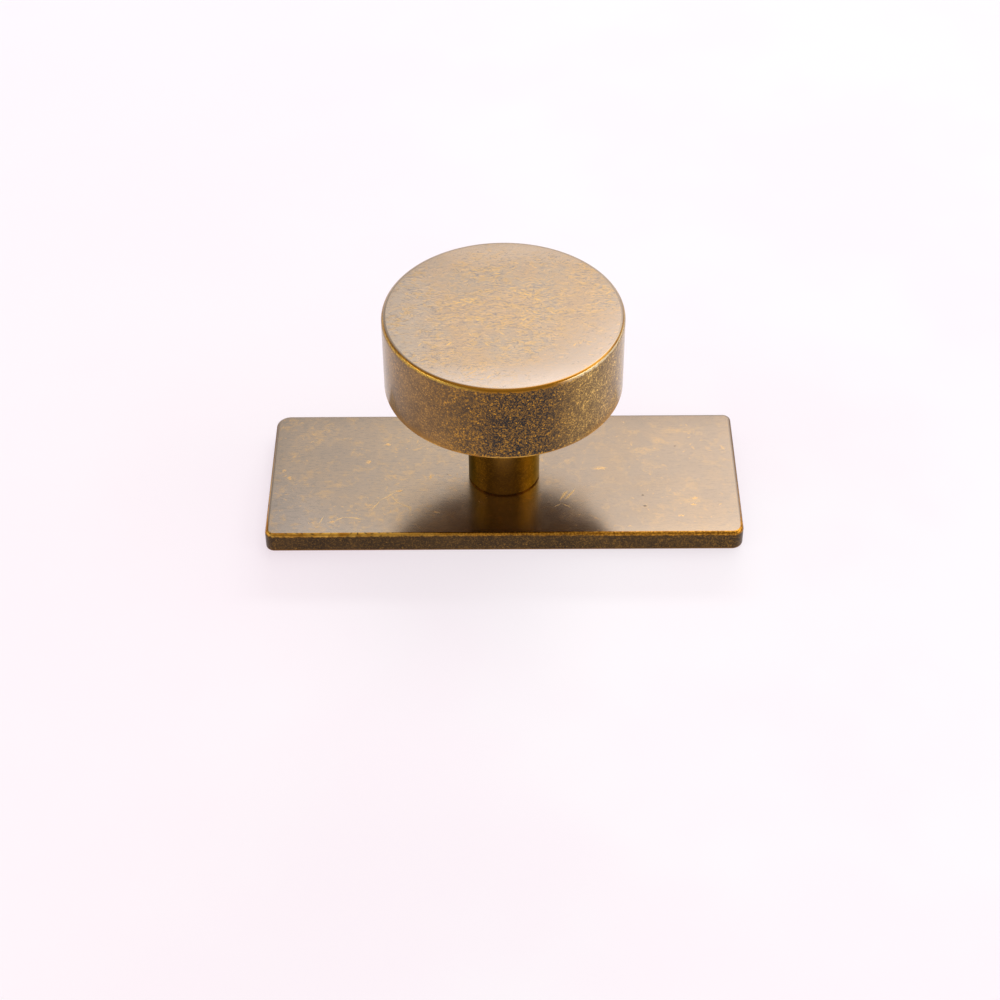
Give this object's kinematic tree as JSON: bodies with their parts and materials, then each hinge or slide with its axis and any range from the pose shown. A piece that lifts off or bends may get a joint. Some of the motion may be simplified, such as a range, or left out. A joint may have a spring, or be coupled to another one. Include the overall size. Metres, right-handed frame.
{
  "type": "cabinet knob with backplate",
  "caption": "Cylindrical brass cabinet knob on a short stem over a rectangular backplate, fixed by one machine screw from behind.",
  "frame": {"origin": "on the fixing screw's axis, in the plane of the backplate's back face, which lies on the cabinet front", "axes": "+Z points out of the cabinet front along the screw's axis, +X runs along the backplate, and -Y is its near side in the picture"},
  "size_m": [0.065, 0.032, 0.031],
  "materials": {
    "plate_brass": "aged and burnished, with bright worn edges",
    "knob_brass": "aged and burnished, with bright worn edges"
  },
  "bodies": {
    "root": {"backplate": "plate_brass", "knob": "knob_brass"}
  },
  "joints": []
}
